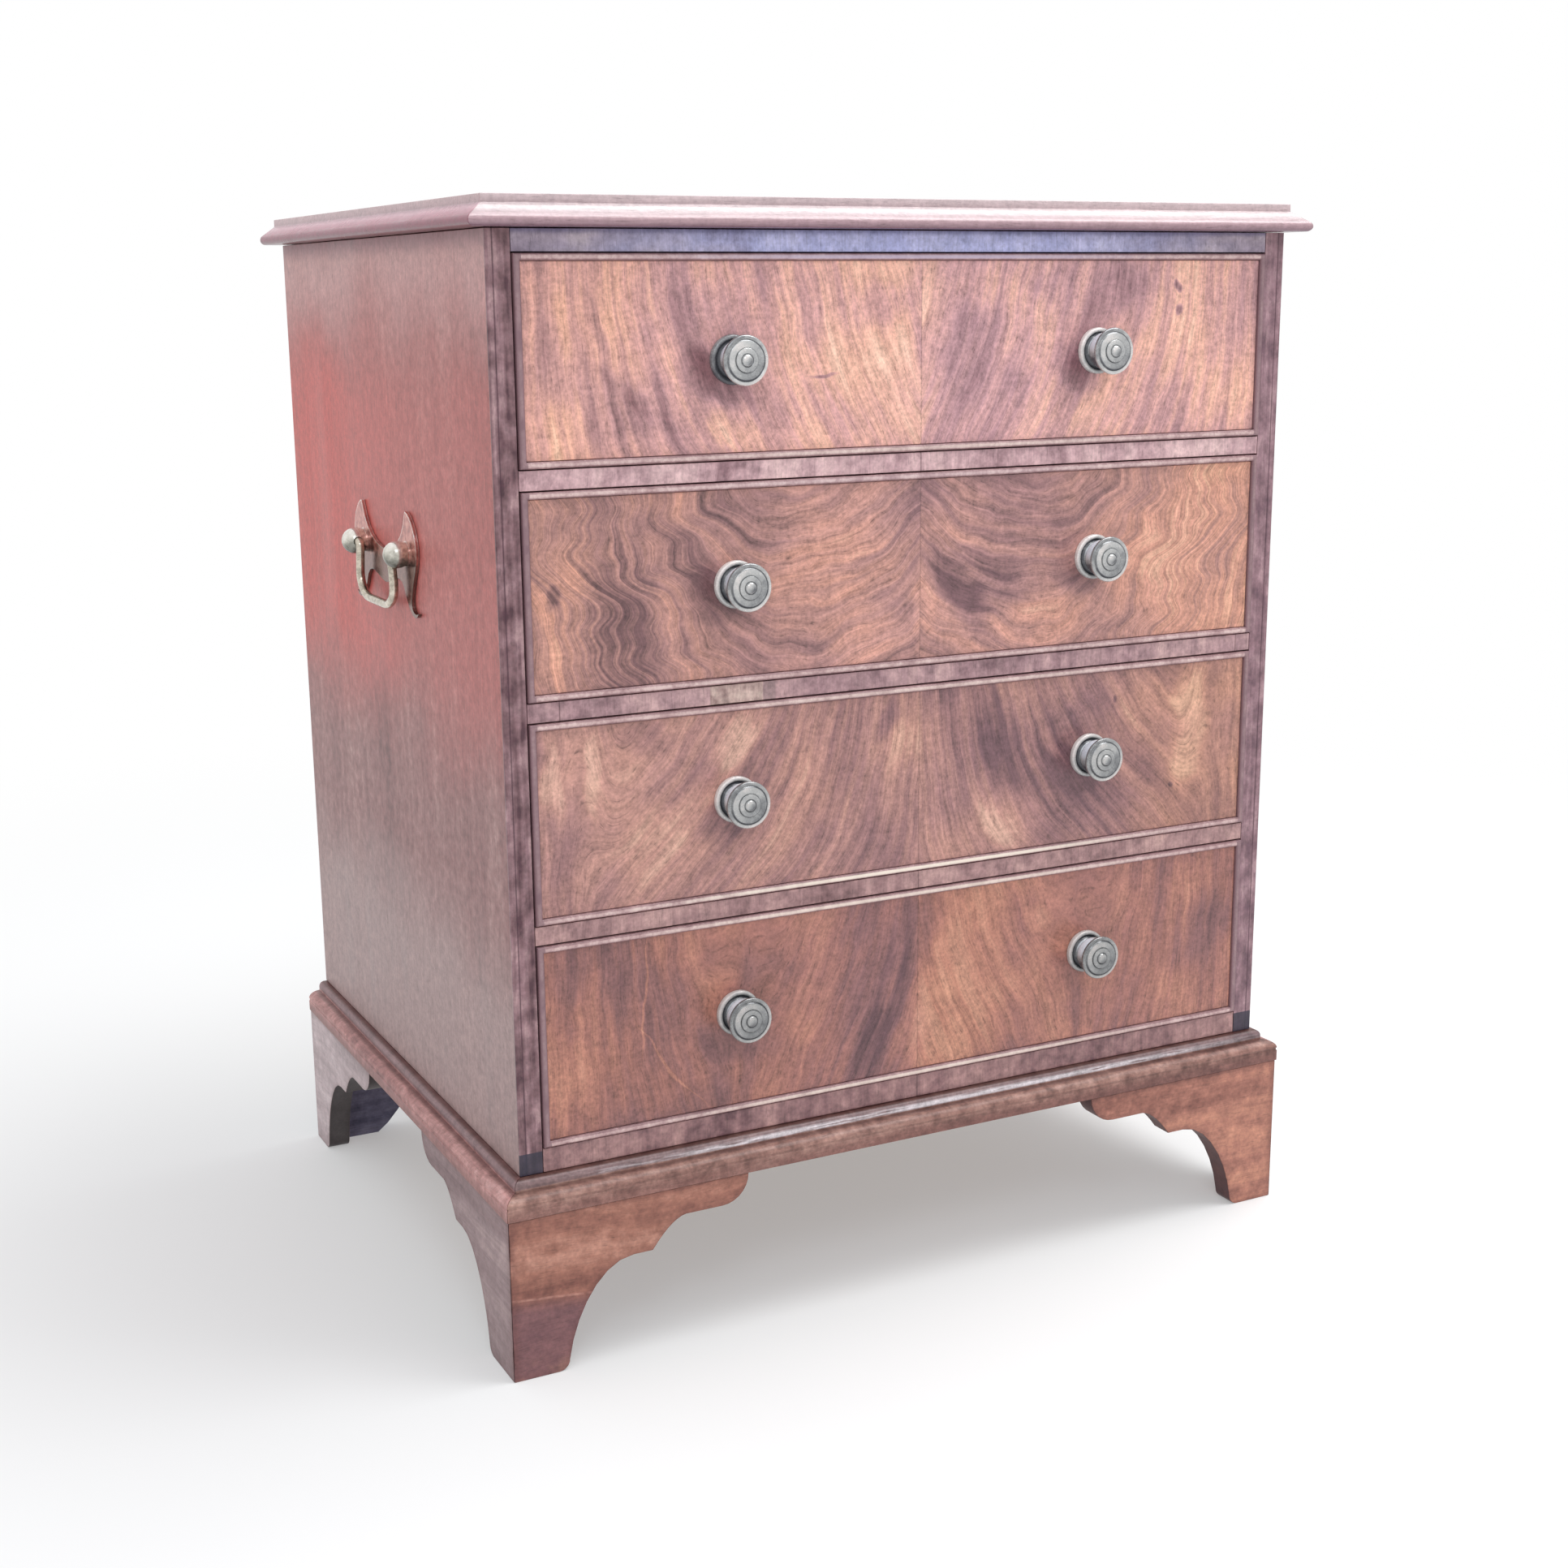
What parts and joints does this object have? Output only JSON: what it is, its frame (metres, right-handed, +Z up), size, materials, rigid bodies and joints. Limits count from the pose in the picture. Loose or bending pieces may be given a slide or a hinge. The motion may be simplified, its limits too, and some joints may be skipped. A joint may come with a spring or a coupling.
{
  "type": "chest of drawers",
  "caption": "Small mahogany chest of long cock-beaded drawers with moulded top and base, shaped bracket feet, turned brass knobs and a swinging brass carrying handle on each side.",
  "frame": {"origin": "middle of the bounding box, on the floor under the soles", "axes": "+Z up, -Y out of the drawer fronts, +X to the right of someone facing the drawers"},
  "size_m": [0.6586, 0.5156, 0.7797],
  "materials": {
    "case_mahogany": "old wax polish over dark red-brown mahogany",
    "drawer_veneer": "polished flame mahogany veneer, book-matched at the middle",
    "cock_bead": "worn polished beading",
    "lining_oak": "bare dry oak",
    "aged_brass": "tarnished, rubbed on the high places"
  },
  "bodies": {
    "case": {"top_board": "case_mahogany", "side_left": "case_mahogany", "side_right": "case_mahogany", "back_panel": "lining_oak", "case_bottom": "lining_oak", "top_rail": "case_mahogany", "divider_1": "case_mahogany", "divider_2": "case_mahogany", "divider_3": "case_mahogany", "bottom_rail": "case_mahogany", "dustboard_1": "lining_oak", "dustboard_2": "lining_oak", "dustboard_3": "lining_oak", "base_moulding_front": "case_mahogany", "base_moulding_left": "case_mahogany", "base_moulding_right": "case_mahogany", "foot_front_left_face": "case_mahogany", "foot_front_left_return": "case_mahogany", "foot_rear_left_return": "case_mahogany", "foot_rear_left_brace": "lining_oak", "foot_front_right_face": "case_mahogany", "foot_front_right_return": "case_mahogany", "foot_rear_right_return": "case_mahogany", "foot_rear_right_brace": "lining_oak", "handle_left_plate": "aged_brass", "handle_right_plate": "aged_brass"},
    "drawer_1": {"drawer_1_front": "drawer_veneer", "drawer_1_bead": "cock_bead", "drawer_1_side_left": "lining_oak", "drawer_1_side_right": "lining_oak", "drawer_1_back": "lining_oak", "drawer_1_bottom": "lining_oak", "drawer_1_knob_left": "aged_brass", "drawer_1_knob_right": "aged_brass"},
    "drawer_2": {"drawer_2_front": "drawer_veneer", "drawer_2_bead": "cock_bead", "drawer_2_side_left": "lining_oak", "drawer_2_side_right": "lining_oak", "drawer_2_back": "lining_oak", "drawer_2_bottom": "lining_oak", "drawer_2_knob_left": "aged_brass", "drawer_2_knob_right": "aged_brass"},
    "drawer_3": {"drawer_3_front": "drawer_veneer", "drawer_3_bead": "cock_bead", "drawer_3_side_left": "lining_oak", "drawer_3_side_right": "lining_oak", "drawer_3_back": "lining_oak", "drawer_3_bottom": "lining_oak", "drawer_3_knob_left": "aged_brass", "drawer_3_knob_right": "aged_brass"},
    "drawer_4": {"drawer_4_front": "drawer_veneer", "drawer_4_bead": "cock_bead", "drawer_4_side_left": "lining_oak", "drawer_4_side_right": "lining_oak", "drawer_4_back": "lining_oak", "drawer_4_bottom": "lining_oak", "drawer_4_knob_left": "aged_brass", "drawer_4_knob_right": "aged_brass"},
    "handle_left": {"handle_left_bail": "aged_brass"},
    "handle_right": {"handle_right_bail": "aged_brass"}
  },
  "joints": [
    {"name": "drawer_1_slide", "type": "slide", "parent": "case", "child": "drawer_1", "axis": [0, -1, 0], "range_m": [0, 0.36]},
    {"name": "drawer_2_slide", "type": "slide", "parent": "case", "child": "drawer_2", "axis": [0, -1, 0], "range_m": [0, 0.36]},
    {"name": "drawer_3_slide", "type": "slide", "parent": "case", "child": "drawer_3", "axis": [0, -1, 0], "range_m": [0, 0.36]},
    {"name": "drawer_4_slide", "type": "slide", "parent": "case", "child": "drawer_4", "axis": [0, -1, 0], "range_m": [0, 0.36]},
    {"name": "handle_left_swing", "type": "hinge", "parent": "case", "child": "handle_left", "pos_m": [-0.3195, -0.00225, 0.5425], "axis": [0, 1, 0], "range_deg": [0, 170]},
    {"name": "handle_right_swing", "type": "hinge", "parent": "case", "child": "handle_right", "pos_m": [0.3195, -0.00225, 0.5425], "axis": [0, -1, 0], "range_deg": [0, 170]}
  ]
}
